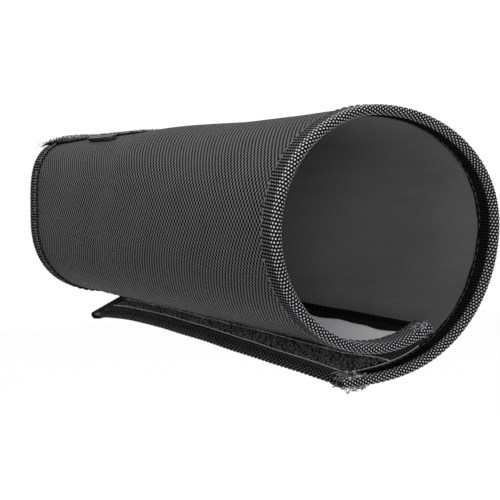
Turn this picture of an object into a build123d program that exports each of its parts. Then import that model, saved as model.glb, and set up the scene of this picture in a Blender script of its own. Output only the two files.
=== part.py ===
"""Roll-up fabric snoot for a shoe-mount flash, closed by a hook-and-loop flap under the tube.

The snoot is one flat laminated panel (woven nylon, stiffener sheet, lining) rolled round the flash
head.  Its four edges are bound in folded tape.  The panel bends along straight lines from the rear
rim to the mouth, so it is cut there into staves that unroll about those lines.

Frame: origin at the centre of the rear opening, mouth towards -Y, +Z up, millimetres.
A bearing is an angle about the tube from straight up, clockwise as seen from the mouth.
"""

import os
from math import atan2, copysign, cos, degrees, hypot, radians, sin

from build123d import *

# Tube
LENGTH = 203.0
REAR_LEFT, REAR_RIGHT = 39.3, 44.5  # half widths of the rear opening
REAR_TOP, REAR_BOTTOM = 37.0, 35.8  # half heights
REAR_OVERLAP_BOTTOM = 42.0  # the outer leaf passes under the inner one
MOUTH_LEFT, MOUTH_RIGHT = 50.0, 62.6
MOUTH_TOP, MOUTH_BOTTOM = 44.5, 45.0
MOUTH_OVERLAP_BOTTOM = 55.3
SQUARE_TOP, SQUARE_BOTTOM, OVAL = 4.0, 2.4, 2.0  # superellipse powers

# Laminate, measured inwards from the outer face
NYLON = 0.8
STIFFENER = 0.9
LINING = 0.5
GLUE_GAP = 0.08
PANEL = NYLON + STIFFENER + LINING + 2 * GLUE_GAP

# Edge binding
TAPE = 0.75
BINDING_LEG = 9.0
TAPE_GAP = 0.08
BEND_GAP = 0.36  # left between staves at a bend line
FLAP_ROOT_GAP = 1.6  # wider, so that the flap can also close
FLAP_FULLNESS = 0.42  # how far the flap follows the tube before it curves to its free edge
FLAP_PANEL_SHARE = 0.97  # share of the flap's width where its panel ends, inside the edge binding
FLAP_COVER_SHARE = 0.975
FLAP_BINDING_SHARE = 0.83
INNER_BINDING_TURN = 8.0  # bearing taken up by the inner leaf's edge binding
INSIDE_TAPE_TURN = 5.0
CUT_REACH, CUT_SHARE = 1.0, 0.03  # how far a cut runs past what it cuts, in millimetres and in flap widths

# Closure strips, patch, tab and grips
STRIP = 1.1
EDGE_CLEARANCE = 0.3  # between an edge binding and the rim bindings
STRIP_CLEARANCE = 1.0  # between a strip's end and the rim bindings
LOOP_STRIP_BEARINGS = (-196.0, -172.0)
HOOK_SHARES = (0.38, 0.8)  # shares of the flap's width
PATCH_LENGTH, PATCH_OVERHANG = 58.0, 2.0
PATCH_EDGES = ((-43.0, 20.0), (38.0, 38.0))  # rear and mouth bearings of the lines its sides follow
PATCH_THICK = 1.3
PATCH_SPANS = 5  # straight stretches of its sides beyond the binding
PATCH_LAP = 0.1  # the patch and the filler under it are one piece
FILLER_CLEARANCE = 0.5
TAB_Y = (-36.0, -59.0)
TAB_BEARINGS = (-39.5, -35.0)
TAB_THICK, TAB_FILLET = 2.2, 0.7
GRIP_Y = (-11.0, -36.0)
GRIP_GAP = 0.25
GRIP_BEARINGS = {"top": (-34.0, 32.0), "left": (-110.0, -75.0), "right": (75.0, 108.0)}
TACK_LENGTH, TACK_WIDTH, TACK_HEIGHT = 10.0, 1.6, 0.7
TACK_TURN, TACK_INSET, TACK_LIFT = 3.0, 2.0, 0.3  # from the patch's side, front edge and face

SECTION_POINTS = 10

# Directions of the outward normal at the bend lines, clockwise from straight up
BENDS = {
    "inner_leaf": (-208.0, -157.5),
    "lower_left": (-157.5, -118.0),
    "left": (-118.0, -82.0),
    "upper_left": (-82.0, -45.0),
    "top": (-45.0, 30.0),
    "upper_right": (30.0, 70.0),
    "right": (70.0, 112.5),
    "lower_right": (112.5, 157.5),
}
FLAP_ROOT_NORMAL = 157.5

# Free edge of the closure flap: y, x, z.  Both its corners curl away from the tube.
FLAP_EDGE = (
    (0.0, -6.0, -51.0),
    (-35.0, -8.3, -48.3),
    (-100.0, -12.4, -50.0),
    (-165.0, -16.6, -53.6),
    (-203.0, -19.0, -55.8),
)


def half_axes(x_side, z_side, outer_leaf, share):
    """Half width, half height and power of the outline's quarter, share 0 at the rear and 1 at the mouth."""
    rear_a = REAR_RIGHT if x_side > 0 else REAR_LEFT
    mouth_a = MOUTH_RIGHT if x_side > 0 else MOUTH_LEFT
    if z_side > 0:
        rear_b, mouth_b, rear_n = REAR_TOP, MOUTH_TOP, SQUARE_TOP
    elif outer_leaf:
        rear_b, mouth_b, rear_n = REAR_OVERLAP_BOTTOM, MOUTH_OVERLAP_BOTTOM, SQUARE_BOTTOM
    else:
        rear_b, mouth_b, rear_n = REAR_BOTTOM, MOUTH_BOTTOM, SQUARE_BOTTOM
    return (rear_a, rear_b, rear_n) if share == 0 else (mouth_a, mouth_b, OVAL)


def quarter(angle, share):
    """The outline's quarter that a bearing or normal direction lies in."""
    x_side = 1 if angle > 0 else -1  # the inner leaf keeps the left side's width past the bottom
    z_side = 1 if abs(angle) < 90 else -1
    return half_axes(x_side, z_side, angle > 90, share)


def bearing_of_normal(normal, share):
    """Bearing of the rim point whose outward normal has that direction."""
    a, b, n = quarter(normal, share)
    s, c = sin(radians(normal)), cos(radians(normal))
    x = a * copysign((a * abs(s)) ** (1 / (n - 1)), s)
    z = b * copysign((b * abs(c)) ** (1 / (n - 1)), c)
    bearing = degrees(atan2(x, z))
    return bearing - 360 if normal < -180 else bearing


def rim_point(bearing, share, offset):
    """Point of one end's outline, offset outwards: (x, z)."""
    a, b, n = quarter(bearing, share)
    s, c = sin(radians(bearing)), cos(radians(bearing))
    r = (abs(s / a) ** n + abs(c / b) ** n) ** (-1 / n)
    x, z = r * s, r * c
    nx = copysign(abs(x / a) ** (n - 1) / a, x)
    nz = copysign(abs(z / b) ** (n - 1) / b, z)
    size = hypot(nx, nz)
    return x + offset * nx / size, z + offset * nz / size


def ruled_point(bearings, y, offset):
    """Point of the ruling between two rim bearings at depth y: (x, z)."""
    share = -y / LENGTH
    x0, z0 = rim_point(bearings[0], 0, offset)
    x1, z1 = rim_point(bearings[1], 1, offset)
    return x0 + (x1 - x0) * share, z0 + (z1 - z0) * share


def bend_bearings(normal):
    """Rear and mouth bearings of the ruling with that normal."""
    return bearing_of_normal(normal, 0), bearing_of_normal(normal, 1)


def between(first, last, share):
    return first + (last - first) * share


def straight(bearings):
    """Two rulings that keep their bearings from the rear rim to the mouth."""
    return [(bearing, bearing) for bearing in bearings]


def tangent_gap(bearings, gap):
    """Bearings moved by a gap in millimetres along each rim."""
    moved = []
    for share, bearing in enumerate(bearings):
        x, z = rim_point(bearing, share, 0)
        moved.append(bearing + degrees(gap / hypot(x, z)))
    return tuple(moved)


def panel_curve(first, last, y, offset):
    """Points across a stave at depth y, from one pair of rim bearings to another."""
    points = []
    for i in range(SECTION_POINTS):
        share = i / (SECTION_POINTS - 1)
        bearings = tuple(between(a, b, share) for a, b in zip(first, last))
        points.append(ruled_point(bearings, y, offset))
    return points


def crown_curve(first, last, y, offset):
    """Points across the top stave at depth y, between two lines given by rear and mouth bearings."""
    share = -y / LENGTH
    stave = [bend_bearings(normal) for normal in BENDS["top"]]
    low, high = (between(*ruling, share) for ruling in stave)
    ends = []
    for side in (first, last):
        turn = (between(*side, share) - low) / (high - low)
        ends.append(tuple(between(a, b, turn) for a, b in zip(*stave)))
    return panel_curve(*ends, y, offset)


def flap_station(first, last, station, offset):
    """Points across the flap at one of its stations, from one share of its width to another."""
    y, ex, ez = station
    root = tangent_gap(bend_bearings(FLAP_ROOT_NORMAL), FLAP_ROOT_GAP / 2)
    bx, bz = ruled_point(root, y, 0)
    normal = radians(FLAP_ROOT_NORMAL)
    reach = FLAP_FULLNESS * hypot(ex - bx, ez - bz)
    mx, mz = bx + reach * cos(normal), bz - reach * sin(normal)
    points = []
    for i in range(SECTION_POINTS):
        t = between(first, last, i / (SECTION_POINTS - 1))
        x = (1 - t) ** 2 * bx + 2 * t * (1 - t) * mx + t**2 * ex
        z = (1 - t) ** 2 * bz + 2 * t * (1 - t) * mz + t**2 * ez
        dx = (1 - t) * (mx - bx) + t * (ex - mx)
        dz = (1 - t) * (mz - bz) + t * (ez - mz)
        size = hypot(dx, dz)
        points.append((x - offset * dz / size, z + offset * dx / size))
    return points


def flap_curve(first, last, y, offset):
    """Points across the flap at depth y, 0 at its root and 1 at its free edge."""
    for rear, front in zip(FLAP_EDGE, FLAP_EDGE[1:]):
        if y >= front[0]:
            break
    share = (y - rear[0]) / (front[0] - rear[0])
    rear_points = flap_station(first, last, rear, offset)
    front_points = flap_station(first, last, front, offset)
    return [
        (between(x0, x1, share), between(z0, z1, share))
        for (x0, z0), (x1, z1) in zip(rear_points, front_points)
    ]


def section(curve, first, last, y, high, low):
    """Closed strip across the panel at depth y, between two offsets from the outer face."""
    outer = curve(first, last, y, high)
    inner = curve(first, last, y, low)
    with BuildSketch(Plane.XZ.offset(-y)) as sketch:
        with BuildLine():
            Spline(outer)
            Line(outer[-1], inner[-1])
            Spline(inner[::-1])
            Line(inner[0], outer[0])
        make_face()
    return sketch.sketch


def slab(curve, first, last, ys, high, low, mode=Mode.ADD):
    """Strip of the panel lofted along the tube through the depths ys, added to the part being built."""
    loft([section(curve, first, last, y, high, low).face() for y in ys], ruled=True, mode=mode)


def depths(curve, start, end):
    """Section depths for a slab: both ends, and the flap's stations between them."""
    if curve is panel_curve:
        return start, end
    return start, *(y for y, _, _ in FLAP_EDGE if end < y < start), end


def strip_depths(curve):
    """Section depths of a strip that runs from one rim binding to the other."""
    clear = BINDING_LEG + STRIP_CLEARANCE
    return depths(curve, -clear, -LENGTH + clear)


def save(part, name):
    part.label = name
    export_step(part, f"parts/{name}.step")


def laminate(place, curve, first, last):
    """The three panel layers of one stave, from just inside the rear binding's fold to the mouth's."""
    ys = depths(curve, -TAPE - TAPE_GAP, -LENGTH + TAPE + TAPE_GAP)
    high = 0.0
    for layer, thickness in (("outer_panel", NYLON), ("stiffener", STIFFENER), ("lining", LINING)):
        with BuildPart() as sheet:
            slab(curve, first, last, ys, high, high - thickness)
        save(sheet.part, f"{layer}_{place}")
        high -= thickness + GLUE_GAP


def rim_binding(place, curve, first, last, rim_y, inwards, name):
    """Folded tape round the panel's edge at a rim: two legs and the fold."""
    leg_end = rim_y + inwards * BINDING_LEG
    inside_fold = rim_y + inwards * TAPE
    beyond = leg_end + inwards * CUT_REACH
    ends = sorted((rim_y, leg_end), reverse=True)
    hollow = sorted((inside_fold, beyond), reverse=True)
    with BuildPart() as tape:
        slab(curve, first, last, ends, TAPE + TAPE_GAP, -PANEL - TAPE_GAP - TAPE)
        slab(curve, *wider(curve, first, last), hollow, TAPE_GAP, -PANEL - TAPE_GAP, Mode.SUBTRACT)
    save(tape.part, f"{name}_{place}")


def wider(curve, first, last):
    """The same stretch of panel, a little longer at both ends, for a clean cut."""
    if curve is panel_curve:
        return tangent_gap(first, -CUT_REACH), tangent_gap(last, CUT_REACH)
    return first - CUT_SHARE, last + CUT_SHARE


def edge_binding(name, curve, folded, cover, edge):
    """Folded tape along a long edge, between the rim bindings.

    folded is where the legs end, cover where the panel ends and edge where the fold ends."""
    clear = BINDING_LEG + EDGE_CLEARANCE
    ys = depths(curve, -clear, -LENGTH + clear)
    past = depths(curve, -clear + CUT_REACH, -LENGTH + clear - CUT_REACH)
    inside = tangent_gap(folded, CUT_REACH) if curve is panel_curve else folded - CUT_SHARE
    with BuildPart() as tape:
        slab(curve, folded, edge, ys, TAPE + TAPE_GAP, -PANEL - TAPE_GAP - TAPE)
        slab(curve, inside, cover, past, TAPE_GAP, -PANEL - TAPE_GAP, Mode.SUBTRACT)
    save(tape.part, name)


def staves():
    """Panel layers and rim bindings of the eight staves of the tube."""
    for place, (start, end) in BENDS.items():
        first = tangent_gap(bend_bearings(start), BEND_GAP / 2)
        last = tangent_gap(bend_bearings(end), -BEND_GAP / 2)
        if place == "inner_leaf":
            first = bend_bearings(start)
        laminate(place, panel_curve, first, last)
        rim_binding(place, panel_curve, first, last, 0.0, -1, "rear_binding")
        rim_binding(place, panel_curve, first, last, -LENGTH, 1, "front_binding")


def closure_flap():
    """The free end of the outer leaf, with its edge binding and hook strip."""
    laminate("closure_flap", flap_curve, 0.0, FLAP_PANEL_SHARE)
    rim_binding("closure_flap", flap_curve, 0.0, FLAP_PANEL_SHARE, 0.0, -1, "rear_binding")
    rim_binding("closure_flap", flap_curve, 0.0, FLAP_PANEL_SHARE, -LENGTH, 1, "front_binding")
    edge_binding("flap_edge_binding", flap_curve, FLAP_BINDING_SHARE, FLAP_COVER_SHARE, 1.0)
    with BuildPart() as hooks:
        slab(flap_curve, *HOOK_SHARES, strip_depths(flap_curve), -PANEL - TAPE_GAP, -PANEL - TAPE_GAP - STRIP)
    save(hooks.part, "hook_strip")


def inner_leaf_trim():
    """Edge binding, loop strip and inside edge tape of the leaf that lies inside the tube."""
    edge = bend_bearings(BENDS["inner_leaf"][0])
    cover = tangent_gap(edge, -TAPE_GAP)
    fold = tangent_gap(edge, -TAPE_GAP - TAPE)
    legs = tuple(b + INNER_BINDING_TURN for b in edge)
    edge_binding("inner_edge_binding", panel_curve, legs, cover, fold)
    ys = strip_depths(panel_curve)
    with BuildPart() as loops:
        slab(panel_curve, *straight(LOOP_STRIP_BEARINGS), ys, TAPE_GAP + STRIP, TAPE_GAP)
    save(loops.part, "loop_strip")
    with BuildPart() as tape:
        first = tangent_gap(legs, TAPE)
        last = tuple(b + INSIDE_TAPE_TURN for b in first)
        slab(panel_curve, first, last, ys, -PANEL - TAPE_GAP, -PANEL - TAPE_GAP - STRIP)
    save(tape.part, "inside_edge_tape")


def top_patch():
    """Hook patch over the rear of the top, laid over the rim binding, and the pull tab at its side."""
    first, last = PATCH_EDGES
    under = TAPE + 2 * TAPE_GAP
    filler_start = -BINDING_LEG - FILLER_CLEARANCE
    stations = [between(filler_start, -PATCH_LENGTH, i / PATCH_SPANS) for i in range(PATCH_SPANS + 1)]
    with BuildPart() as patch:
        slab(crown_curve, first, last, (PATCH_OVERHANG, *stations), under + PATCH_THICK, under)
        slab(crown_curve, first, last, stations, under + PATCH_LAP, 2 * TAPE_GAP)
    save(patch.part, "top_hook_patch")
    with BuildPart() as tab:
        slab(panel_curve, *straight(TAB_BEARINGS), TAB_Y, TAPE_GAP + TAB_THICK, TAPE_GAP)
        fillet(tab.edges().filter_by(lambda e: e.length < TAB_THICK + TAPE_GAP), TAB_FILLET)
    save(tab.part, "pull_tab")


def head_grips():
    """Hook strips inside the rear rim that hold on the strap round the flash head."""
    for place, bearings in GRIP_BEARINGS.items():
        with BuildPart() as grip:
            slab(panel_curve, *straight(bearings), GRIP_Y, -PANEL - GRIP_GAP, -PANEL - GRIP_GAP - STRIP)
        save(grip.part, f"head_grip_{place}")


def bar_tacks():
    """Dense stitches that hold the patch's front corners."""
    with BuildPart() as tacks:
        for edge, turn in zip(PATCH_EDGES, (TACK_TURN, -TACK_TURN)):
            y = -PATCH_LENGTH + TACK_LENGTH / 2 + TACK_INSET
            bearing = between(*edge, -y / LENGTH) + turn
            high = TAPE + 3 * TAPE_GAP + PATCH_THICK
            x, z = ruled_point((bearing, bearing), y, high + TACK_HEIGHT / 2 + TACK_LIFT)
            with Locations(Location((x, y, z), (0, bearing / 2, 0))):
                Box(TACK_WIDTH, TACK_LENGTH, TACK_HEIGHT)
    save(tacks.part, "patch_bar_tacks")


def main():
    os.makedirs("parts", exist_ok=True)
    staves()
    closure_flap()
    inner_leaf_trim()
    top_patch()
    head_grips()
    bar_tacks()


main()
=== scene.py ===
"""Roll-up fabric snoot: its cloth, tapes, hook strips and thread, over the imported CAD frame.

The panel's outline is the CAD part's.  Its lengths are millimetres until a mesh is made.
A place on the panel is (q, y, offset): q counts staves from the inner leaf's free edge, y is the
depth along the tube from the rear rim, and offset is measured outwards from the outer face.
"""

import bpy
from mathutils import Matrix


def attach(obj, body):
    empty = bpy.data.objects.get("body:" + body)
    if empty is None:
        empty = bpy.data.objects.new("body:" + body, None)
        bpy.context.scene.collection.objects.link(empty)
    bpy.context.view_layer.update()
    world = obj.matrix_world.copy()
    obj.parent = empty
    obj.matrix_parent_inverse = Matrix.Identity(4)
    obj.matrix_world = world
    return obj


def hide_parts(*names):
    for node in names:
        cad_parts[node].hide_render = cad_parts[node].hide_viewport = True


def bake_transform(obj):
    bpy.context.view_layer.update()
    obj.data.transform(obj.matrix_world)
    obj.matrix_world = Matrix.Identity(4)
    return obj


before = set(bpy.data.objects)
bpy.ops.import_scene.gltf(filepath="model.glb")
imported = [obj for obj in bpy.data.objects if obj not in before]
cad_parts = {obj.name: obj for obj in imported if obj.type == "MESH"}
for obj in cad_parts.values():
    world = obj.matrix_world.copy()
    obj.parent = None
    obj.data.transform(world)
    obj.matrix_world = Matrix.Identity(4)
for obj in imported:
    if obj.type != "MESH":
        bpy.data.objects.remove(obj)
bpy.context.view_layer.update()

import math

import bpy
import numpy as np
from mathutils import Vector

MM = 0.001
SEED = 7

# Outline: (rear, mouth)
LENGTH = 203.0
LEFT, RIGHT = (39.3, 50.0), (44.5, 62.6)
TOP, BOTTOM, OVERLAP = (37.0, 44.5), (35.8, 45.0), (42.0, 55.3)
SQUARE_TOP, SQUARE_BOTTOM, OVAL = 4.0, 2.4, 2.0
STAVES = (
    "inner_leaf",
    "lower_left",
    "left",
    "upper_left",
    "top",
    "upper_right",
    "right",
    "lower_right",
    "closure_flap",
)
BEND_NORMALS = (-208.0, -157.5, -118.0, -82.0, -45.0, 30.0, 70.0, 112.5, 157.5)
ROOT, EDGE, CROWN = 8.0, 9.0, 4.5  # q of the flap's root, its free edge and the middle of the top
FLAP_Y = (0.0, -35.0, -100.0, -165.0, -203.0)
FLAP_X = (-6.0, -8.3, -12.4, -16.6, -19.0)
FLAP_Z = (-51.0, -48.3, -50.0, -53.6, -55.8)
FLAP_FULLNESS = 0.42

# Laminate and tapes
NYLON, STIFFENER, LINING, GLUE_GAP = 0.8, 0.9, 0.5, 0.08
PANEL = NYLON + STIFFENER + LINING + 2 * GLUE_GAP
TAPE = 0.75
LEG = 9.0
HEM = 1.6  # the cloth stops this far inside a binding's fold
STITCH, STITCH_PITCH, STITCH_INSET = 2.7, 3.4, 1.3
STITCH_ROOM = 2.8  # kept free at the end of a row
STRIP_END = LEG + 1  # the closure tapes stop this far from either rim
PILE_END = LEG + 2  # and their hooks or loops this far

# Ribs of the binding tape
RIB_PITCH, BEAD_PITCH, RIB_SLANT, RIB_HEIGHT = 1.3, 1.42, 0.05, 0.38
RIB_SAMPLES = 5


# ---------------------------------------------------------------- outline


def outline(bearing, share, offset):
    """(x, z) of a rim, share 0 at the rear and 1 at the mouth, offset outwards."""
    a = np.where(bearing > 0, RIGHT[share], LEFT[share])
    top = np.abs(bearing) < 90
    b = np.where(top, TOP[share], np.where(bearing > 90, OVERLAP[share], BOTTOM[share]))
    n = np.where(top, SQUARE_TOP, SQUARE_BOTTOM) if share == 0 else OVAL
    s, c = np.sin(np.radians(bearing)), np.cos(np.radians(bearing))
    r = (np.abs(s / a) ** n + np.abs(c / b) ** n) ** (-1 / n)
    x, z = r * s, r * c
    nx = np.sign(x) * np.abs(x / a) ** (n - 1) / a
    nz = np.sign(z) * np.abs(z / b) ** (n - 1) / b
    size = np.hypot(nx, nz)
    return x + offset * nx / size, z + offset * nz / size


def bearing_of_normal(normal, share):
    """Bearing of the rim point whose outward normal has that direction."""
    a = (RIGHT if normal > 0 else LEFT)[share]
    top = abs(normal) < 90
    b = (TOP if top else OVERLAP if normal > 90 else BOTTOM)[share]
    n = OVAL if share else SQUARE_TOP if top else SQUARE_BOTTOM
    s, c = math.sin(math.radians(normal)), math.cos(math.radians(normal))
    x = a * math.copysign((a * abs(s)) ** (1 / (n - 1)), s)
    z = b * math.copysign((b * abs(c)) ** (1 / (n - 1)), c)
    bearing = math.degrees(math.atan2(x, z))
    return bearing - 360 if normal < -180 else bearing


BEARINGS = [[bearing_of_normal(n, share) for n in BEND_NORMALS] for share in (0, 1)]
KNOTS = range(len(BEND_NORMALS))
FLAP_X_OF_Y = np.polyfit(FLAP_Y, FLAP_X, 4)
FLAP_Z_OF_Y = np.polyfit(FLAP_Y, FLAP_Z, 4)

# Soft hollows pressed into the panel: q, y, spread in q and y, lean, depth
HOLLOWS = (
    (2.6, -64.0, 0.9, 9.0, 0.0, 0.9),
    (3.6, -70.0, 0.6, 8.0, 6.0, 0.7),
    (1.9, -112.0, 0.35, 26.0, -30.0, 0.8),
    (2.7, -150.0, 0.5, 16.0, 20.0, 0.5),
    (5.6, -80.0, 0.5, 14.0, -14.0, 0.8),
    (6.5, -125.0, 0.6, 22.0, 18.0, 0.9),
    (7.3, -60.0, 0.4, 18.0, 10.0, 0.7),
    (4.4, -140.0, 0.45, 24.0, 12.0, 0.4),
    (3.8, -90.0, 0.75, 27.0, 0.0, -1.9),
    (6.05, -135.0, 0.10, 45.0, 30.0, 0.35),
    (6.30, -110.0, 0.09, 50.0, 40.0, 0.30),
)


def hollow_depth(q, y):
    """How far the panel is pressed in at a place, nothing at either rim."""
    depth = np.zeros(np.broadcast(q, y).shape)
    for q0, y0, q_spread, y_spread, lean, deep in HOLLOWS:
        along = (y - y0 - lean * (q - q0)) / y_spread
        depth = depth + deep * np.exp(-(((q - q0) / q_spread) ** 2) - along**2)
    ripple = 0.12 * np.sin(y / 7.0 + 2.2 * q) * np.sin(q * 5.1 + y / 31.0)
    fade = np.clip(-y / 25, 0, 1) * np.clip((y + LENGTH) / 25, 0, 1)
    return (depth + ripple) * fade


def flap_points(t, y, offset):
    """(x, z) on the closure flap, t from 0 at its root to 1 at its free edge."""
    share = -y / LENGTH
    ends = [outline(np.float64(BEARINGS[k][-1]), k, 0.0) for k in (0, 1)]
    bx = ends[0][0] + (ends[1][0] - ends[0][0]) * share
    bz = ends[0][1] + (ends[1][1] - ends[0][1]) * share
    ex, ez = np.polyval(FLAP_X_OF_Y, y), np.polyval(FLAP_Z_OF_Y, y)
    root = math.radians(BEND_NORMALS[-1])
    reach = FLAP_FULLNESS * np.hypot(ex - bx, ez - bz)
    mx, mz = bx + reach * math.cos(root), bz - reach * math.sin(root)
    x = (1 - t) ** 2 * bx + 2 * t * (1 - t) * mx + t**2 * ex
    z = (1 - t) ** 2 * bz + 2 * t * (1 - t) * mz + t**2 * ez
    dx = (1 - t) * (mx - bx) + t * (ex - mx)
    dz = (1 - t) * (mz - bz) + t * (ez - mz)
    size = np.hypot(dx, dz)
    return x - offset * dz / size, z + offset * dx / size


def panel(q, y, offset):
    """Points of the panel, in millimetres."""
    q, y, offset = (np.asarray(v, float) for v in (q, y, offset))
    q, y, offset = np.broadcast_arrays(q, y, offset)
    offset = offset - hollow_depth(q, y)
    share = -y / LENGTH
    x0, z0 = outline(np.interp(q, KNOTS, BEARINGS[0]), 0, offset)
    x1, z1 = outline(np.interp(q, KNOTS, BEARINGS[1]), 1, offset)
    fx, fz = flap_points(np.clip(q - ROOT, 0, 1), y, offset)
    x = np.where(q > ROOT, fx, x0 + (x1 - x0) * share)
    z = np.where(q > ROOT, fz, z0 + (z1 - z0) * share)
    return np.stack([x, y, z], axis=-1)


def outward(q, y):
    """Unit normals of the panel."""
    n = panel(q, y, 1.0) - panel(q, y, 0.0)
    return n / np.linalg.norm(n, axis=-1, keepdims=True)


def surface_normals(q, y, offset):
    """True normals of the hollowed panel, so that pieces meet without a visible line."""
    across = panel(q + 0.01, y, offset) - panel(q - 0.01, y, offset)
    along = panel(q, y + 0.3, offset) - panel(q, y - 0.3, offset)
    n = np.cross(across, along)
    return n / np.linalg.norm(n, axis=-1, keepdims=True)


FINE_Q = np.linspace(0, EDGE, 2701)


def arc_table(y):
    """Length along the panel's outer face at depth y, from the crown."""
    steps = np.linalg.norm(np.diff(panel(FINE_Q, y, 0.0), axis=0), axis=1)
    length = np.concatenate([[0], np.cumsum(steps)])
    return length - np.interp(CROWN, FINE_Q, length)


ARCS = [arc_table(0.0), arc_table(-LENGTH)]
WIDTHS = [arc[-1] - arc[0] for arc in ARCS]
APEX = LENGTH * WIDTHS[0] / (WIDTHS[1] - WIDTHS[0])  # the flat panel is a fan about this far point


def arc(q, share):
    return (1 - share) * np.interp(q, FINE_Q, ARCS[0]) + share * np.interp(q, FINE_Q, ARCS[1])


def q_of_arc(length, share):
    return np.interp(length, (1 - share) * ARCS[0] + share * ARCS[1], FINE_Q)


def flat(q, y):
    """Where a place of the panel lies when the panel is laid flat, in millimetres."""
    share = -np.asarray(y, float) / LENGTH
    reach = APEX + share * LENGTH
    angle = arc(q, share) / reach
    return np.stack(np.broadcast_arrays(reach * np.sin(angle), reach * np.cos(angle) - APEX), axis=-1)


# ---------------------------------------------------------------- meshes


def volume_sign(points, quads):
    a, b, c, d = (points[quads[:, i]] for i in range(4))
    volume = np.einsum("ij,ij->", a, np.cross(b, c)) + np.einsum("ij,ij->", a, np.cross(c, d))
    return 1 if volume >= 0 else -1


def quad_normals(points, quads):
    a, b, c, d = (points[quads[:, i]] for i in range(4))
    return np.cross(c - a, d - b)


def make_piece(name, points, quads, flat_from, material, uv=None, tone=None, normals=None):
    """A mesh object from points in millimetres and quads; those from flat_from on are shaded flat."""
    if volume_sign(points, quads) < 0:
        quads = quads[:, ::-1]
    mesh = bpy.data.meshes.new(name)
    mesh.vertices.add(len(points))
    mesh.vertices.foreach_set("co", (points * MM).astype(np.float32).ravel())
    mesh.loops.add(quads.size)
    mesh.loops.foreach_set("vertex_index", quads.astype(np.int32).ravel())
    mesh.polygons.add(len(quads))
    mesh.polygons.foreach_set("loop_start", np.arange(0, quads.size, 4, dtype=np.int32))
    mesh.polygons.foreach_set("use_smooth", np.arange(len(quads)) < flat_from)
    mesh.update(calc_edges=True)
    if uv is not None:
        layer = mesh.uv_layers.new(name="flat")
        layer.data.foreach_set("uv", uv[quads.ravel()].astype(np.float32).ravel())
    if tone is not None:
        mesh.attributes.new("tone", "FLOAT", "POINT").data.foreach_set("value", tone.astype(np.float32))
    mesh.materials.append(material)
    if normals is not None:
        corners = normals[quads]
        facing = np.sign(np.einsum("ijk,ik->ij", corners, quad_normals(points, quads)))
        corners = corners * facing[..., None]
        corners[flat_from:] = 0
        mesh.normals_split_custom_set(corners.reshape(-1, 3))
    piece = bpy.data.objects.new(name, mesh)
    bpy.context.scene.collection.objects.link(piece)
    return piece


def shell(name, outer, inner, material, uv=None, tone=None, normals=None):
    """A closed thick sheet between two lattices of points, each rows x columns x 3."""
    rows, columns = outer.shape[:2]
    ring = np.concatenate([outer, inner[:, ::-1]], axis=1)
    index = np.arange(rows * 2 * columns).reshape(rows, 2 * columns)
    after = np.roll(index, -1, axis=1)
    walls = np.stack([index[:-1], after[:-1], after[1:], index[1:]], axis=-1)
    sides = np.zeros(2 * columns, bool)
    sides[[columns - 1, -1]] = True
    i = np.arange(columns - 1)
    zipper = np.stack([i, 2 * columns - 1 - i, 2 * columns - 2 - i, i + 1], axis=1)
    last = index[-1, 0]
    rims = np.concatenate([walls[:, sides].reshape(-1, 4), zipper, zipper[:, ::-1] + last])
    faces = walls[:, ~sides].reshape(-1, 4)
    quads = np.concatenate([faces, rims])
    extras = {}
    for key, value, width in (("uv", uv, (2,)), ("tone", tone, ()), ("normals", normals, (3,))):
        if value is not None:
            extras[key] = np.concatenate([value, value[:, ::-1]], axis=1).reshape(-1, *width)
    return make_piece(name, ring.reshape(-1, 3), quads, len(faces), material, **extras)


def tubes(name, paths, radius, material, sides=4, tone=None):
    """Round strands along paths, strands x points x 3, closed at both ends and joined in one mesh."""
    count, length = paths.shape[:2]
    along = np.gradient(paths, axis=1)
    along /= np.linalg.norm(along, axis=2, keepdims=True) + 1e-9
    helper = np.where(np.abs(along[..., 2:]) < 0.8, [[[0.0, 0.0, 1.0]]], [[[1.0, 0.0, 0.0]]])
    side = np.cross(along, helper)
    side /= np.linalg.norm(side, axis=2, keepdims=True) + 1e-9
    other = np.cross(along, side)
    turn = np.arange(sides) * 2 * np.pi / sides
    taper = np.ones(length)
    taper[[0, -1]] = 0.7
    radii = (np.broadcast_to(radius, (count,))[:, None] * taper)[..., None, None]
    circle = np.cos(turn)[:, None] * side[:, :, None] + np.sin(turn)[:, None] * other[:, :, None]
    rings = paths[:, :, None] + radii * circle
    index = np.arange(count * length * sides).reshape(count, length, sides)
    after = np.roll(index, -1, axis=2)
    walls = np.stack([index[:, :-1], after[:, :-1], after[:, 1:], index[:, 1:]], axis=-1)
    half = np.arange(sides // 2 - 1)
    lid = np.stack([half, half + 1, sides - 2 - half, sides - 1 - half], axis=1)
    lids = np.concatenate([index[:, 0][:, lid].reshape(-1, 4)[:, ::-1], index[:, -1][:, lid].reshape(-1, 4)])
    quads = np.concatenate([walls.reshape(-1, 4), lids])
    tones = None if tone is None else np.repeat(np.broadcast_to(tone, (count,)), length * sides)
    return make_piece(name, rings.reshape(-1, 3), quads, walls.size // 4, material, tone=tones)


# ---------------------------------------------------------------- materials


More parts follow.
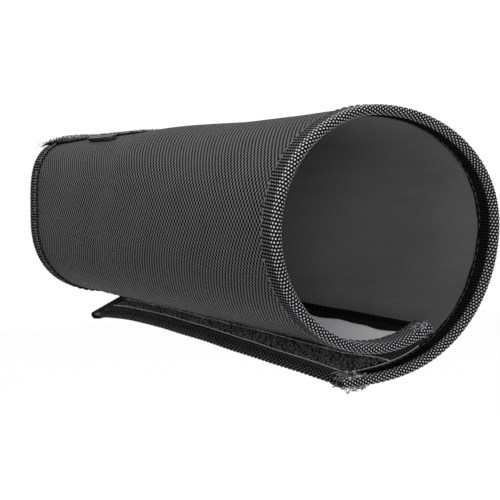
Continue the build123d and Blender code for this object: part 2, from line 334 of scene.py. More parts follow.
class Shader:
    """A Principled material, with short ways to add nodes to it."""

    def __init__(self, name, roughness, specular=0.5, sheen=0.0):
        self.material = bpy.data.materials.new(name)
        self.material.use_nodes = True
        self.tree = self.material.node_tree
        self.bsdf = self.tree.nodes["Principled BSDF"]
        self.bsdf.inputs["Roughness"].default_value = roughness
        self.bsdf.inputs["Specular IOR Level"].default_value = specular
        self.bsdf.inputs["Sheen Weight"].default_value = sheen
        self.bsdf.inputs["Sheen Roughness"].default_value = 0.4

    def plug(self, value, socket):
        if isinstance(value, bpy.types.NodeSocket):
            self.tree.links.new(value, socket)
        elif value is not None:
            socket.default_value = value

    def math(self, operation, a, b=None):
        node = self.tree.nodes.new("ShaderNodeMath")
        node.operation = operation
        self.plug(a, node.inputs[0])
        self.plug(b, node.inputs[1])
        return node.outputs[0]

    def mix(self, factor, dark, light):
        node = self.tree.nodes.new("ShaderNodeMix")
        node.data_type = "RGBA"
        node.clamp_factor = True
        self.plug(factor, node.inputs["Factor"])
        self.plug(grey(dark), node.inputs["A"])
        self.plug(grey(light), node.inputs["B"])
        return node.outputs["Result"]

    def flat_place(self):
        node = self.tree.nodes.new("ShaderNodeUVMap")
        node.uv_map = "flat"
        return node.outputs["UV"]

    def place(self):
        return self.tree.nodes.new("ShaderNodeTexCoord").outputs["Object"]

    def stretched(self, where, across, along):
        node = self.tree.nodes.new("ShaderNodeVectorMath")
        node.operation = "MULTIPLY"
        self.plug(where, node.inputs[0])
        node.inputs[1].default_value = (across, along, 1.0)
        return node.outputs["Vector"]

    def noise(self, where, scale, detail):
        node = self.tree.nodes.new("ShaderNodeTexNoise")
        self.plug(where, node.inputs["Vector"])
        node.inputs["Scale"].default_value = scale
        node.inputs["Detail"].default_value = detail
        return node.outputs["Fac"]

    def tone(self):
        node = self.tree.nodes.new("ShaderNodeAttribute")
        node.attribute_name = "tone"
        return node.outputs["Fac"]

    def scaled(self, value, low, high):
        """value, from 0 to 1, stretched from low to high."""
        return self.math("ADD", self.math("MULTIPLY", value, high - low), low)

    def weave(self, where, across, along):
        """Lightness of a plain weave, used as height and as colour: painted highlight on the yarn crests and
        painted shade where the cross yarn dips in every other cell.
        """
        split = self.tree.nodes.new("ShaderNodeSeparateXYZ")
        self.plug(where, split.inputs[0])
        cells, humps = [], []
        for axis, pitch in ((0, across), (1, along)):
            steps = self.math("DIVIDE", split.outputs[axis], pitch)
            part = self.math("FRACT", steps)
            cells.append(self.math("FLOOR", steps))
            back = self.math("SUBTRACT", 1.0, part)
            humps.append(self.math("MULTIPLY", self.math("MULTIPLY", part, back), 4.0))
        odd = self.math("FLOORED_MODULO", self.math("ADD", *cells), 2.0)
        mound = self.math("POWER", self.math("MULTIPLY", *humps), 0.38)
        dip = self.math("MULTIPLY", mound, odd)
        crest = self.math("MULTIPLY", mound, self.math("SUBTRACT", 1.0, odd))
        # Painted highlight on the crests and painted shade in the dips.
        light = self.math("ADD", 0.58, self.math("MULTIPLY", crest, 0.42))
        return self.math("MAXIMUM", self.math("SUBTRACT", light, self.math("MULTIPLY", dip, 1.5)), 0.0)

    def bump(self, height, distance, strength, normal=None):
        node = self.tree.nodes.new("ShaderNodeBump")
        node.inputs["Strength"].default_value = strength
        node.inputs["Distance"].default_value = distance
        self.plug(height, node.inputs["Height"])
        self.plug(normal, node.inputs["Normal"])
        return node.outputs["Normal"]

    def finish(self, colour, normal=None, roughness=None):
        self.plug(colour, self.bsdf.inputs["Base Color"])
        self.plug(normal, self.bsdf.inputs["Normal"])
        self.plug(roughness, self.bsdf.inputs["Roughness"])
        return self.material


def grey(value):
    """A colour socket's value from one number, or the socket that was given."""
    return value if isinstance(value, bpy.types.NodeSocket) else (value, value, value * 1.03, 1.0)


def nylon_material():
    s = Shader("ballistic_nylon", 0.6)
    where = s.flat_place()
    # The weave's painted highlights and shade go into the cloth's colour here, and also drive its specular
    # and bump.
    light = s.weave(where, 1.37, 1.0)
    patch = s.noise(where, 0.05, 3.0)
    yarn = s.noise(where, 1.7, 2.0)
    lit = s.math("MULTIPLY", light, s.scaled(patch, 0.7, 1.2))
    lit = s.math("MULTIPLY", lit, s.scaled(yarn, 0.6, 1.3))
    s.plug(s.math("MULTIPLY", light, 0.2), s.bsdf.inputs["Specular IOR Level"])
    grain = s.bump(yarn, 0.00005, 0.5)
    colour = s.mix(lit, 0.0005, 0.038)
    relief = s.bump(light, 0.00022, 0.9, grain)
    return s.finish(colour, relief, s.scaled(patch, 0.5, 0.72))


def lining_material(name, dark, light):
    s = Shader(name, 0.7, specular=0.2, sheen=0.05)
    where = s.flat_place()
    height = s.weave(where, 0.42, 0.42)
    patch = s.noise(where, 0.035, 4.0)
    grain = s.noise(where, 0.9, 3.0)
    creases_and_shade = s.noise(s.stretched(where, 0.07, 0.013), 1.0, 4.0)
    # The colour is darker in the weave's dips and the creases' hollows and lighter on their tops: painted
    # shade and painted highlight.
    cloud = s.math("MULTIPLY", s.scaled(height, 0.8, 1.0), s.scaled(patch, 0.55, 0.75))
    cloud = s.math("MULTIPLY", cloud, s.scaled(grain, 0.75, 1.25))
    cloud = s.math("MULTIPLY", cloud, s.scaled(creases_and_shade, 0.8, 1.2))
    relief = s.bump(height, 0.00005, 0.5, s.bump(creases_and_shade, 0.0025, 0.7))
    return s.finish(s.mix(cloud, dark, light), relief, s.scaled(patch, 0.6, 0.8))


def binding_material():
    s = Shader("ribbed_binding", 0.5)
    where = s.place()
    fibre = s.noise(where, 2500.0, 2.0)
    wear = s.noise(where, 90.0, 2.0)
    lit = s.math("MULTIPLY", s.tone(), s.scaled(wear, 0.75, 1.25))
    s.plug(s.math("MULTIPLY", s.tone(), 0.4), s.bsdf.inputs["Specular IOR Level"])
    return s.finish(s.mix(lit, 0.002, 0.6), s.bump(fibre, 0.00008, 0.6), s.scaled(fibre, 0.4, 0.65))


def plain_material(name, dark, light, roughness, scale, specular=0.4):
    s = Shader(name, roughness, specular=specular)
    fibre = s.noise(s.place(), scale, 3.0)
    colour = s.mix(fibre, dark, light)
    return s.finish(colour, s.bump(fibre, 0.0001, 0.6), s.scaled(fibre, roughness - 0.1, roughness + 0.1))


def toned_material(name, dark, light, roughness, specular=0.4):
    """Strands whose lightness differs from strand to strand."""
    s = Shader(name, roughness, specular=specular)
    fibre = s.noise(s.place(), 1800.0, 2.0)
    lit = s.math("MULTIPLY", s.tone(), s.scaled(fibre, 0.6, 1.4))
    colour = s.mix(lit, dark, light)
    relief = s.bump(fibre, 0.00005, 0.4)
    return s.finish(colour, relief, s.scaled(fibre, roughness, roughness + 0.2))


NYLON_CLOTH = nylon_material()
DARK_LINING = lining_material("dark_lining", 0.012, 0.095)
# Lining of the inner leaf: partly a paler cloth, partly painted light for the light falling on the tube's
# floor near the mouth.
PALE_LIT_LINING = lining_material("pale_lining_with_painted_light", 0.2, 0.64)
# Near-black lining on the flap's inner face: painted shade for the dark gap under the inner leaf.
FLAP_SHADE_LINING = lining_material("flap_painted_shade_lining", 0.002, 0.012)
CORE = plain_material("stiffener_sheet", 0.02, 0.04, 0.5, 300.0)
BINDING = binding_material()
THREAD = toned_material("thread", 0.006, 0.09, 0.5)
STRANDS = toned_material("loose_threads", 0.01, 0.5, 0.5)
HOOKS = toned_material("hook_plastic", 0.003, 0.1, 0.35, 0.35)
FUZZ = toned_material("closure_fuzz", 0.003, 0.13, 0.5, 0.25)
HOOK_BASE = plain_material("hook_tape_base", 0.001, 0.006, 0.85, 900.0, 0.0)
BLACK_TAPE = plain_material("smooth_black_tape", 0.001, 0.005, 0.85, 1200.0, 0.06)


# ---------------------------------------------------------------- joints


TURN_SHARE = 0.92  # of the narrower stave's half width that turns with a bend


def bend_band(k):
    """Where the cloth starts and ends its turn at bend k: as wide as the narrower stave allows."""
    here = panel(k, -LENGTH / 2, 0.0)
    axis = panel(k, -LENGTH, 0.0) - panel(k, 0.0, 0.0)
    axis /= np.linalg.norm(axis)
    across = panel(k + 0.02, -LENGTH / 2, 0.0) - panel(k - 0.02, -LENGTH / 2, 0.0)
    across -= axis * (across @ axis)
    across /= np.linalg.norm(across)
    middles = [panel(q, y, 0.0) - here for q in (k - 0.5, k + 0.5) for y in (0.0, -LENGTH)]
    half = TURN_SHARE * min(abs(m @ across) for m in middles)
    return (here - half * across) * MM, (here + half * across) * MM


BANDS = {k: bend_band(k) for k in range(1, 9)}


def bend(piece):
    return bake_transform(piece)


def reach_of(k):
    """The stretch of q that the pieces at bend k cover: from middle to middle, or to a free edge."""
    return (0.0 if k == 1 else k - 0.5), (EDGE if k == 8 else k + 0.5)


def even_q(k, step, share, hem=0.0):
    """Values of q across the pieces at bend k, evenly spaced along the panel."""
    first, last = (arc(q, share) for q in reach_of(k))
    first += hem if k == 1 else 0.0
    last -= hem if k == 8 else 0.0
    return q_of_arc(np.linspace(first, last, math.ceil((last - first) / step) + 1), share)


# ---------------------------------------------------------------- panel layers


def layer(name, k, high, thickness, material, step):
    """One layer of the panel at bend k."""
    q = even_q(k, step, 0.5, HEM)
    y = np.linspace(-HEM, -LENGTH + HEM, round(LENGTH / step / 1.4))[:, None]
    uv = flat(q[None], y)
    outer, inner = panel(q[None], y, high), panel(q[None], y, high - thickness)
    normals = surface_normals(q[None], y, high)
    return bend(shell(name, outer, inner, material, uv=uv, normals=normals))


# ---------------------------------------------------------------- bindings


def fold_profile(leg, high, low):
    """Section of a folded tape: way round it, distance in from the fold, offset, normal and foldedness."""
    radius = (high - low) / 2
    straight = leg - radius
    around = 2 * straight + math.pi * radius
    w = np.arange(0, around, BEAD_PITCH / RIB_SAMPLES)
    w = w + (around - w[-1]) / 2
    turn = np.clip((w - straight) / radius, 0, math.pi)
    d = radius - radius * np.sin(turn) + np.where(turn <= 0, straight - w, 0)
    d = d + np.where(turn >= math.pi, w - straight - math.pi * radius, 0)
    offset = (high + low) / 2 + radius * np.cos(turn)
    fold = np.clip(1.15 - np.abs(w - around / 2) / (math.pi * radius / 2 + 0.5), 0, 0.2) * 5
    return w - around / 2, d, offset, -np.sin(turn), np.cos(turn), fold


def rib_relief(s, w, fold):
    """Height of the tape's ribs, which break up into beads on the fold."""
    turns = (s + RIB_SLANT * w) / RIB_PITCH
    rib = 0.5 + 0.5 * np.cos(2 * np.pi * turns)
    half_step = np.round(turns) % 2 / 2
    bead = 0.5 + 0.5 * np.cos(2 * np.pi * (w / BEAD_PITCH + half_step))
    return rib * ((1 - fold) * (0.65 + 0.35 * bead) + fold * bead)


def folded_tape(name, s, place, leg, tones, high=TAPE + GLUE_GAP, low=-PANEL - GLUE_GAP - TAPE):
    """Ribbed tape folded over an edge; place(d, offset) gives its points, a row for each s.

    tones are the lightness of the outer leg, the fold and the inner leg; the lightness falls to nothing in
    the grooves between ribs and beads, painted shade there and painted highlight on their tops."""
    w, d, offset, nd, no, fold = fold_profile(leg, high, low)
    relief = rib_relief(s[:, None], w[None], fold[None])
    wander = 0.18 * np.sin(s / 5.3) + 0.12 * np.sin(s / 2.1 + 1) + 0.2 * np.cos(2 * np.pi * s / RIB_PITCH)
    d = d[None] + wander[:, None] * np.clip(1 - (w[-1] - np.abs(w)) / 1.5, 0, 1)
    rise = (relief - 1.0) * RIB_HEIGHT
    outer = place(d + nd * rise, offset + no * rise)
    under = 0.35 - TAPE
    inner = place(d + nd * under, np.broadcast_to(offset + no * under, d.shape))
    legs = np.where(w < 0, tones[0], tones[2])
    # Painted shade in the grooves and painted highlight on the rib and bead tops.
    tone = relief**4.4 * (fold * tones[1] + (1 - fold) * legs)[None]
    return shell(name, outer, inner, BINDING, tone=tone)


def rib_rows(first, last):
    """Evenly sampled distances along a tape, in step with its ribs."""
    step = RIB_PITCH / RIB_SAMPLES
    middle = np.arange(math.ceil(first / step + 0.5), math.floor(last / step - 0.5) + 1) * step
    return np.concatenate([[first], middle, [last]])


def rim_binding(name, k, share):
    first, last = (arc(q, share) for q in reach_of(k))
    s = rib_rows(first, last)
    q = q_of_arc(s, share)[:, None]

    def place(d, offset):
        return panel(q, -LENGTH + d if share else -d, offset)

    # The mouth binding's fold is ten times lighter than the rear's: painted highlight. Inner legs are darker
    # than outer legs: painted shade inside the tube. The exception is the mouth's inner leg on the inner
    # leaf, made lighter as painted light from above.
    inner_leg_shading = 0.5 if k == 1 else 0.02
    tones = (0.17, 1.2, inner_leg_shading) if share else (0.14, 0.12, 0.05)
    return bend(folded_tape(name, s, place, LEG, tones))


def edge_q(edge, y, distance):
    """q at distances along the panel from a free edge, a row for each y."""
    q = np.linspace(edge, edge + (0.5 if edge == 0 else -0.6), 120)
    points = panel(q[None], y[:, None], 0.0)
    length = np.cumsum(np.linalg.norm(np.diff(points, axis=1), axis=2), axis=1)
    length = np.concatenate([np.zeros((len(y), 1)), length], axis=1)
    return np.stack([np.interp(np.maximum(d, 0), row, q) for d, row in zip(distance, length)])


def edge_binding(name, edge, body, leg, tones):
    s = rib_rows(LEG + 0.25, LENGTH - LEG - 0.25)

    def place(d, offset):
        distance = np.broadcast_to(d, (len(s), d.shape[-1]))
        return panel(edge_q(edge, -s, distance), -s[:, None], offset)

    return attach(folded_tape(name, s, place, leg, tones), body)


# ---------------------------------------------------------------- strands


def rng_for(name):
    return np.random.default_rng([SEED, *name.encode()])


def frames(q, y, side):
    """(normal, two tangents) at places of the panel, the normal pointing out of the face with that side."""
    normal = outward(q, y) * side
    along = panel(q, y - 0.5, 0.0) - panel(q, y + 0.5, 0.0)
    along /= np.linalg.norm(along, axis=-1, keepdims=True)
    return normal, along, np.cross(normal, along)


def scatter(q_range, y_range, share, pitch, rng, jitter=0.3):
    """Places on a jittered grid over a stretch of the panel."""
    u = np.arange(arc(q_range[0], share) + pitch / 2, arc(q_range[1], share), pitch)
    v = np.arange(y_range[1] + pitch / 2, y_range[0], pitch)
    u, v = (g.ravel() for g in np.meshgrid(u, v))
    u = u + rng.uniform(-jitter, jitter, len(u)) * pitch
    v = v + rng.uniform(-jitter, jitter, len(v)) * pitch
    scale = (q_range[1] - q_range[0]) / (arc(q_range[1], share) - arc(q_range[0], share))
    return q_range[0] + (u - arc(q_range[0], share)) * scale, v


HOOK_SHAPE = ((0.0, -0.1), (0.02, 0.45), (0.12, 0.86), (0.38, 1.0), (0.6, 0.74))
LOOP_SHAPE = ((0.0, -0.1), (0.1, 0.6), (0.35, 1.0), (0.7, 0.95), (0.95, 0.5), (1.0, -0.1))


def pile(name, q, y, base, side, height, radius, shape, material, rng):
    """Hooks or loops standing on a face of the panel."""
    normal, along, across = frames(q, y, side)
    root = panel(q, y, base * side)
    heading = rng.uniform(0, 2 * np.pi, len(q))
    ahead = np.cos(heading)[:, None] * along + np.sin(heading)[:, None] * across
    lean = rng.normal(0, 0.18, (len(q), 1)) * across + rng.normal(0, 0.18, (len(q), 1)) * along
    tall = height * rng.uniform(0.75, 1.15, (len(q), 1))
    steps = [root + tall * (a * ahead + b * normal + max(b, 0) * lean) for a, b in shape]
    return tubes(name, np.stack(steps, axis=1), radius, material, tone=rng.uniform(0.1, 1.0, len(q)))


def slab(name, q, y, high, low, material):
    """Plain strip of tape on the panel; q has a row for each depth y."""
    y = y[:, None]
    return shell(name, panel(q, y, high), panel(q, y, low), material, uv=flat(q, y))


def stray_threads(name, q, y, base, side, length, count, body, rng, lean, radius):
    """Loose thread ends curling away from a place on the panel."""
    q = q + rng.normal(0, 1, count) * 0.012
    y = y + rng.normal(0, 1.2, count)
    normal, along, across = frames(q, y, side)
    heading = along * lean[0] + across * lean[1] + rng.normal(0, 0.55, (count, 3)) + 0.25 * normal
    heading /= np.linalg.norm(heading, axis=1, keepdims=True)
    bend_to = rng.normal(0, 0.5, (count, 3))
    reach = length * rng.uniform(0.35, 1.0, (count, 1))
    root = panel(q, y, side * base)
    steps = [root + reach * (t * heading + t * t * 0.5 * bend_to) for t in np.linspace(0, 1, 7)]
    made = tubes(name, np.stack(steps, axis=1), radius, STRANDS, tone=rng.uniform(0.05, 1.0, count) ** 1.5)
    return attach(made, body)


# ---------------------------------------------------------------- build

LAYER_STEP = 1.5


def build_panel():
    """Cloth, stiffener, lining, rim bindings and their stitches at each bend."""
    for k in range(1, 9):
        left, right = STAVES[k - 1], STAVES[k]
        tag = f"{left}_to_{right}"
        both = (left, right)
        core_high = -NYLON - GLUE_GAP
        lining_high = core_high - STIFFENER - GLUE_GAP
        cloth = layer(f"nylon_{tag}", k, 0.0, NYLON, NYLON_CLOTH, LAYER_STEP)
        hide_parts(*(f"outer_panel_{s}" for s in both))
        core = layer(f"stiffener_sheet_{tag}", k, core_high, STIFFENER, CORE, 3.0)
        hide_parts(*(f"stiffener_{s}" for s in both))
        lining = layer(f"lining_cloth_{tag}", k, lining_high, LINING, DARK_LINING, LAYER_STEP)
        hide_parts(*(f"lining_{s}" for s in both))
        if k == 1:
            # paler lining towards the inner leaf's edge, partly painted light
            line_with(lining, PALE_LIT_LINING, 1.0, -1)
        if k == 8:
            # near-black flap lining, painted shade
            line_with(lining, FLAP_SHADE_LINING, 7.75, 1)
        front = rim_binding(f"mouth_binding_{tag}", k, 1)
        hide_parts(*(f"front_binding_{s}" for s in both))
        rear = rim_binding(f"rear_rim_binding_{tag}", k, 0)
        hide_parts(*(f"rear_binding_{s}" for s in both))
        stitches = rim_stitches(tag, k)


def line_with(lining, material, join, side):
    """Another lining material on the side of a ruling of the panel, -1 towards the inner leaf's edge; it
    carries painted light on the inner leaf and painted shade on the flap.
    """
    lining.data.materials.append(material)
    places = np.empty(len(lining.data.loops) * 2, np.float32)
    lining.data.uv_layers["flat"].data.foreach_get("uv", places)
    u, v = (places.reshape(-1, 4, 2)[:, :, axis].mean(axis=1) for axis in (0, 1))
    rear, mouth = (float(flat(join, y)[0]) for y in (0.0, -LENGTH))
    beyond = (u - rear - (mouth - rear) * np.clip(v / LENGTH, 0, 1)) * side > 0
    lining.data.polygons.foreach_set("material_index", beyond.astype(np.int32))


def rim_stitches(tag, k):
    """Rows of stitches along both rims, on both faces."""
    rng = rng_for(tag)
    q_all, y_all, faces = [], [], []
    for share in (0, 1):
        first, last = (arc(q, share) for q in reach_of(k))
        starts = np.arange(math.ceil(first / STITCH_PITCH) * STITCH_PITCH, last - STITCH_ROOM, STITCH_PITCH)
        q = q_of_arc(np.stack([starts, starts + STITCH], axis=1).ravel(), share)
        y_row = LEG - STITCH_INSET
        y = np.full(len(q), -LENGTH + y_row if share else -y_row)
        for side, base in ((1, TAPE), (-1, PANEL + TAPE)):
            q_all.append(q), y_all.append(y), faces.append(np.full(len(q), side * base))
    q, y, base = (np.concatenate(v) for v in (q_all, y_all, faces))
    shares = np.array([0.0, 0.12, 0.5, 0.88, 1.0])
    lift = np.array([-0.3, 0.1, 0.2, 0.1, -0.3])
    qs = q[0::2, None] + (q[1::2] - q[0::2])[:, None] * shares
    ys = y[0::2, None] + rng.normal(0, 0.07, (len(q) // 2, 1)) + 0 * shares
    offset = base[0::2, None] + np.sign(base[0::2, None]) * lift
    paths = panel(qs, ys, offset)
    # Stitches on the inner face are about nine times darker than those outside: painted shade inside the
    # tube.
    shade = rng.uniform(0.3, 1.0, len(paths)) * np.where(base[0::2] > 0, 0.35, 0.04)
    stitches = tubes(f"rim_stitches_{tag}", paths, 0.24, THREAD, sides=6, tone=shade)
    return bend(stitches)


def at_depths(y, ys, values):
    """Value at each depth y from a few depths and values."""
    return np.interp(-y, [-v for v in ys], values)


CLOSURE_INNER = (0, -75, -125, -170, -187), (8.54, 8.527, 8.465, 8.445, 8.35)  # depths, q
CLOSURE_OUTER = (0, -89, -137, -193), (8.76, 8.775, 8.812, 8.86)


def build_flap():
    """Edge binding, hook strip, its selvedges and the frayed tape end of the closure flap."""
    edge = edge_binding("flap_edge_tape", EDGE, "closure_flap", 8.0, (0.3, 0.3, 0.3))
    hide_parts("flap_edge_binding")
    y = np.linspace(-STRIP_END, -LENGTH + STRIP_END, 120)
    low = -PANEL - GLUE_GAP
    inner_line = at_depths(y, *CLOSURE_INNER)
    outer_line = at_depths(y, *CLOSURE_OUTER)
    q = between_lines(inner_line, outer_line, 14)
    base = slab("closure_hook_tape", q, y, low, low - 0.4, HOOK_BASE)
    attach(base, "closure_flap")
    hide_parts("hook_strip")
    rng = rng_for("closure")
    q, v = scatter((8.36, 8.86), (-PILE_END, -LENGTH + PILE_END), 0.6, 1.15, rng)
    kept = (q > np.interp(-v, -y, inner_line) + 0.02) & (q < np.interp(-v, -y, outer_line) - 0.015)
    fuzz = pile("closure_hooks", q[kept], v[kept], PANEL + 0.4, -1, 0.9, 0.12, LOOP_SHAPE, FUZZ, rng)
    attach(fuzz, "closure_flap")
    for name, line, shade in (("inner", inner_line, 0.8), ("outer", outer_line, 0.5)):
        wobble = 0.003 * np.sin(y / 5.0) * np.sin(y / 13.0)
        path = panel(line + wobble, y, low - TAPE)[None]
        cord = tubes(f"closure_{name}_selvedge", path, 0.22, STRANDS, 6, shade)
        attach(cord, "closure_flap")
    q = np.linspace(7.95, 8.93, 120)
    rim_cord = panel(q, -LENGTH + LEG + 0.35, low - TAPE + 0.1)[None]
    cord = bend(tubes("closure_mouth_selvedge", rim_cord, 0.2, STRANDS, 6, 0.5))
    place = (8.8, 9.0), (-LENGTH, -LENGTH + 8.5)
    frayed_ends("frayed_flap_corner", *place, 300, (1.2, 4.2), 0.13, "closure_flap", rng_for("corner"))


def between_lines(first, last, columns):
    share = np.linspace(0, 1, columns)[None]
    return first[:, None] + (last - first)[:, None] * share


def frayed_ends(name, q_range, y_range, count, lengths, radius, body, rng):
    """Unravelled yarns where an edge binding meets the mouth binding."""
    q, y = rng.uniform(*q_range, count), rng.uniform(*y_range, count)
    side = rng.choice([-1, 1], count)
    base = np.where(side > 0, TAPE, PANEL + TAPE) - 0.2
    yarns = curls(q, y, side, base, rng.uniform(*lengths, count), rng)
    bundle = tubes(name, yarns, radius, STRANDS, 4, rng.uniform(0.0, 0.9, count) ** 3)
    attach(bundle, body)


def curls(q, y, side, base, length, rng):
    """Short curly yarn ends rising from places on either face: strands x points x 3."""
    normal = frames(q, y, side[:, None])[0]
    root = panel(q, y, base * side)
    a, b = rng.normal(0, 1, (2, len(q), 3))
    for v in (a, b):
        v -= normal * np.einsum("ij,ij->i", v, normal)[:, None] * 0.6
        v /= np.linalg.norm(v, axis=1, keepdims=True)
    phase = rng.uniform(0, 6.28, (len(q), 1))
    reach = length[:, None]
    steps = []
    for t in np.linspace(0, 1, 8):
        wave = np.sin(phase + 7 * t) - np.sin(phase)
        steps.append(root + reach * (0.55 * t * a + 0.22 * wave * b + 0.5 * t * (1.15 - t) * normal))
    return np.stack(steps, axis=1)


def build_inner_leaf():
    """Edge binding, inside tape and loop strip of the leaf that lies inside the tube."""
    # The fold and inner leg are darker than the outer leg: painted shade inside the tube.
    edge = edge_binding("inner_leaf_edge_tape", 0.0, "inner_leaf", 7.0, (0.1, 0.03, 0.01))
    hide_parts("inner_edge_binding")
    y = np.linspace(-STRIP_END, -LENGTH + STRIP_END, 200)
    low = -PANEL - GLUE_GAP
    wavy = 0.012 * np.sin(y / 6.1) + 0.008 * np.sin(y / 2.7 + 1)
    q = between_lines(0.12 + 0 * y, 0.2 + wavy, 8)
    tape = slab("inner_leaf_black_tape", q, y, low, low - 0.6, BLACK_TAPE)
    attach(tape, "inner_leaf")
    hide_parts("inside_edge_tape")
    rng = rng_for("loops")
    base = slab("closure_loop_tape", between_lines(0.24 + 0 * y, 0.68 + 0 * y, 16), y, 0.5, 0.08, HOOK_BASE)
    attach(base, "inner_leaf")
    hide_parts("loop_strip")
    q, v = scatter((0.26, 0.66), (-PILE_END, -LENGTH + PILE_END), 0.5, 1.1, rng)
    fuzz = pile("closure_loops", q, v, 0.5, 1, 0.75, 0.1, LOOP_SHAPE, HOOKS, rng)
    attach(fuzz, "inner_leaf")
    place = (0.0, 0.14), (-LENGTH, -LENGTH + 6)
    frayed_ends("frayed_leaf_corner", *place, 90, (0.8, 2.6), 0.12, "inner_leaf", rng)


def q_line(rear, mouth, y):
    """q along the line between a bearing at the rear rim and one at the mouth."""
    shares = -y / LENGTH
    bearings = rear + (mouth - rear) * shares
    middles = [[(1 - t) * a + t * b for a, b in zip(*BEARINGS)] for t in shares]
    return np.array([np.interp(b, m, KNOTS) for b, m in zip(bearings, middles)])


PATCH_LENGTH, PATCH_OVERHANG, PATCH_CORNER = 58.0, 1.6, 9.0
PATCH_LEFT, PATCH_RIGHT = (-43.0, 20.0), (38.0, 38.0)  # rear and mouth bearings its sides follow
PATCH_HIGH, PATCH_LOW, PATCH_DROP = 1.45, 0.95, 0.78
TAB_BEARING, TAB_REAR, TAB_MIDDLE, TAB_LENGTH, TAB_WIDTH = -39.5, -36.0, -47.0, 23.0, 3.5
TACK_Y, TACK_PITCH = (-52.5, -43.5), 0.33
GRIPS = (("top", -34.0, 32.0), ("left", -110.0, -75.0), ("right", 75.0, 108.0))
GRIP_Y, GRIP_GAP, GRIP_TAPE = (-11.0, -36.0), 0.25, 0.4


def patch_sides(y):
    """q of the patch's two sides, drawn in where its front corners are rounded."""
    crown_width = arc(5.0, 0.15) - arc(4.0, 0.15)
    round_off = np.clip(-y - (PATCH_LENGTH - PATCH_CORNER), 0, PATCH_CORNER)
    inset = (PATCH_CORNER - np.sqrt(PATCH_CORNER**2 - round_off**2)) / crown_width
    return q_line(*PATCH_LEFT, y) + inset, q_line(*PATCH_RIGHT, y) - inset


def patch_drop(y):
    """How far the patch has come down from the rear binding on to the cloth."""
    return np.clip((-y - 8.0) / 7.0, 0, 1) * PATCH_DROP


def build_patch():
    """Hook patch over the rear of the top, its tacks, stray threads and pull tab."""
    rounded = PATCH_CORNER * (1 - np.sin(np.linspace(0.1, 1.57, 12)))
    straight = np.linspace(PATCH_OVERHANG, -PATCH_LENGTH + PATCH_CORNER, 42)
    y = np.concatenate([straight, -PATCH_LENGTH + rounded])
    q = between_lines(*patch_sides(y), 40)
    drop = patch_drop(y)[:, None]
    base = slab("top_patch_tape", q, y, PATCH_HIGH - drop, PATCH_LOW - drop, HOOK_BASE)
    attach(base, "top")
    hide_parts("top_hook_patch")
    rng = rng_for("patch")
    q, v = scatter((3.9, 5.3), (1.3, -57.6), 0.15, 1.12, rng, 0.35)
    left, right = patch_sides(v)
    kept = (q > left + 0.004) & (q < right - 0.004)
    q, v = q[kept], v[kept]
    hooks = pile("top_patch_hooks", q, v, PATCH_HIGH - patch_drop(v), 1, 0.95, 0.13, HOOK_SHAPE, HOOKS, rng)
    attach(hooks, "top")
    corner = patch_sides(np.array([0.0]))[0][0]
    lean = (-0.6, -0.5)
    threads = stray_threads("patch_corner_threads", corner, 0.0, 1.3, 1, 5.0, 22, "top", rng, lean, 0.07)
    build_tab()
    build_tacks()


def build_tab():
    """Pull tab at the patch's left side: webbing folded back on itself, its fold towards the rear."""
    s = rib_rows(0.0, TAB_WIDTH)
    start = q_line(TAB_BEARING, TAB_BEARING, np.array([TAB_MIDDLE]))[0]
    scale = 1 / (arc(5.0, 0.2) - arc(4.0, 0.2))
    q = (start + s * scale)[:, None]

    def place(d, offset):
        squeeze = 1 - 0.35 * np.exp(-((d / 3.0) ** 2))
        middle = q.mean()
        return panel(middle + (q - middle) * squeeze, TAB_REAR - d, offset)

    # The under leg is half as light as the top: painted shade beneath the tab.
    tab = folded_tape("pull_tab_webbing", s, place, TAB_LENGTH, (0.4, 0.4, 0.2), 2.1, 0.12)
    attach(tab, "top")
    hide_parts("pull_tab")


def build_tacks():
    """Dense bar tacks at the patch's front corners."""
    rng = rng_for("tacks")
    paths = []
    for side in (0, 1):
        y = np.arange(*TACK_Y, TACK_PITCH)
        centre = patch_sides(y)[side] + (0.05 if side == 0 else -0.05)
        for t, lift in ((-1, -0.35), (-0.8, 0.12), (0, 0.3), (0.8, 0.12), (1, -0.35)):
            paths.append(panel(centre + t * 0.014, y + 0.08 * t, 0.85 + lift))
    strands = np.concatenate([np.stack(paths[:5], axis=1), np.stack(paths[5:], axis=1)])
    tacks = tubes("patch_corner_stitches", strands, 0.2, THREAD, 6, rng.uniform(0.2, 0.7, len(strands)))
    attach(tacks, "top")
    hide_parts("patch_bar_tacks")


def build_grips():
    """Hook strips inside the rear rim that hold the strap round the flash head."""
    for place, start, end in GRIPS:
        y = np.linspace(*GRIP_Y, 20)
        first, last = q_line(start, start, y), q_line(end, end, y)
        low = -PANEL - GRIP_GAP
        columns = round(abs(arc(last[0], 0.1) - arc(first[0], 0.1)) / 1.5) + 1
        q = between_lines(first, last, columns)
        base = slab(f"head_grip_tape_{place}", q, y, low, low - GRIP_TAPE, HOOK_BASE)
        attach(base, place)
        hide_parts(f"head_grip_{place}")
        rng = rng_for(place)
        q, v = scatter((first.max() + 0.01, last.min() - 0.01), (-11.5, -35.5), 0.1, 1.5, rng)
        foot = PANEL + GRIP_GAP + GRIP_TAPE
        hooks = pile(f"head_grip_hooks_{place}", q, v, foot, -1, 0.7, 0.13, HOOK_SHAPE, HOOKS, rng)
        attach(hooks, place)


build_panel()
build_flap()
build_inner_leaf()
build_patch()
build_grips()


# ---------------------------------------------------------------- stage


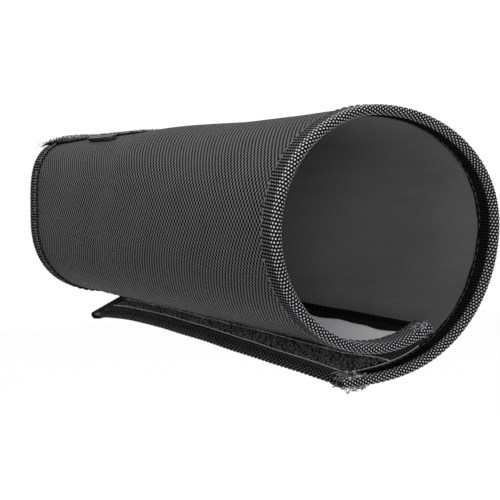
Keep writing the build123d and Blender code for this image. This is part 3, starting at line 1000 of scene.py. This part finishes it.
FLOOR_Z = -0.9
CAMERA_PLACE = (-0.3011, -0.5200, 0.0187)
CAMERA_AZIMUTH, CAMERA_DOWN = -37.106, 3.465
SENSOR, LENS = 36.0, 86.4
KEY_LIGHT = (-0.5, -0.1, 1.0), (0, -0.1, 0), 0.55, 30.0  # place, aim, size, power
MOUTH_LIGHT = (-0.75, -1.15, 0.1), (0, -0.15, 0), 0.5, 12.5
WORLD_STRENGTH = 1.05


def white(name, value, rough):
    s = Shader(name, rough, specular=0.2)
    return s.finish((value, value, value, 1.0))


def build_floor():
    bpy.ops.mesh.primitive_plane_add(size=12, location=(0, 0, FLOOR_Z))
    floor = bpy.context.object
    floor.name = "floor"
    floor.data.materials.append(white("pale_floor", 0.93, 0.9))


def area_light(name, place, aim, size, energy):
    data = bpy.data.lights.new(name, "AREA")
    data.shape, data.size, data.energy = "DISK", size, energy
    light = bpy.data.objects.new(name, data)
    light.location = place
    light.rotation_euler = (Vector(aim) - Vector(place)).to_track_quat("-Z", "Y").to_euler()
    bpy.context.scene.collection.objects.link(light)


def build_light():
    world = bpy.data.worlds.new("studio")
    world.use_nodes = True
    world.node_tree.nodes["Background"].inputs["Color"].default_value = (1, 1, 1, 1)
    world.node_tree.nodes["Background"].inputs["Strength"].default_value = WORLD_STRENGTH
    bpy.context.scene.world = world
    area_light("key_light", *KEY_LIGHT)
    area_light("mouth_light", *MOUTH_LIGHT)
    bpy.context.scene.view_settings.view_transform = "Standard"


def build_camera():
    """The photograph's view: from the left of the mouth, a little above the tube's axis."""
    data = bpy.data.cameras.new("camera")
    data.sensor_width, data.lens = SENSOR, LENS
    camera = bpy.data.objects.new("camera", data)
    azimuth, down = math.radians(CAMERA_AZIMUTH), math.radians(CAMERA_DOWN)
    look = Vector((-math.sin(azimuth) * math.cos(down), math.cos(azimuth) * math.cos(down), -math.sin(down)))
    camera.location = CAMERA_PLACE
    camera.rotation_euler = look.to_track_quat("-Z", "Y").to_euler()
    bpy.context.scene.collection.objects.link(camera)
    bpy.context.scene.camera = camera


build_floor()
build_light()
build_camera()
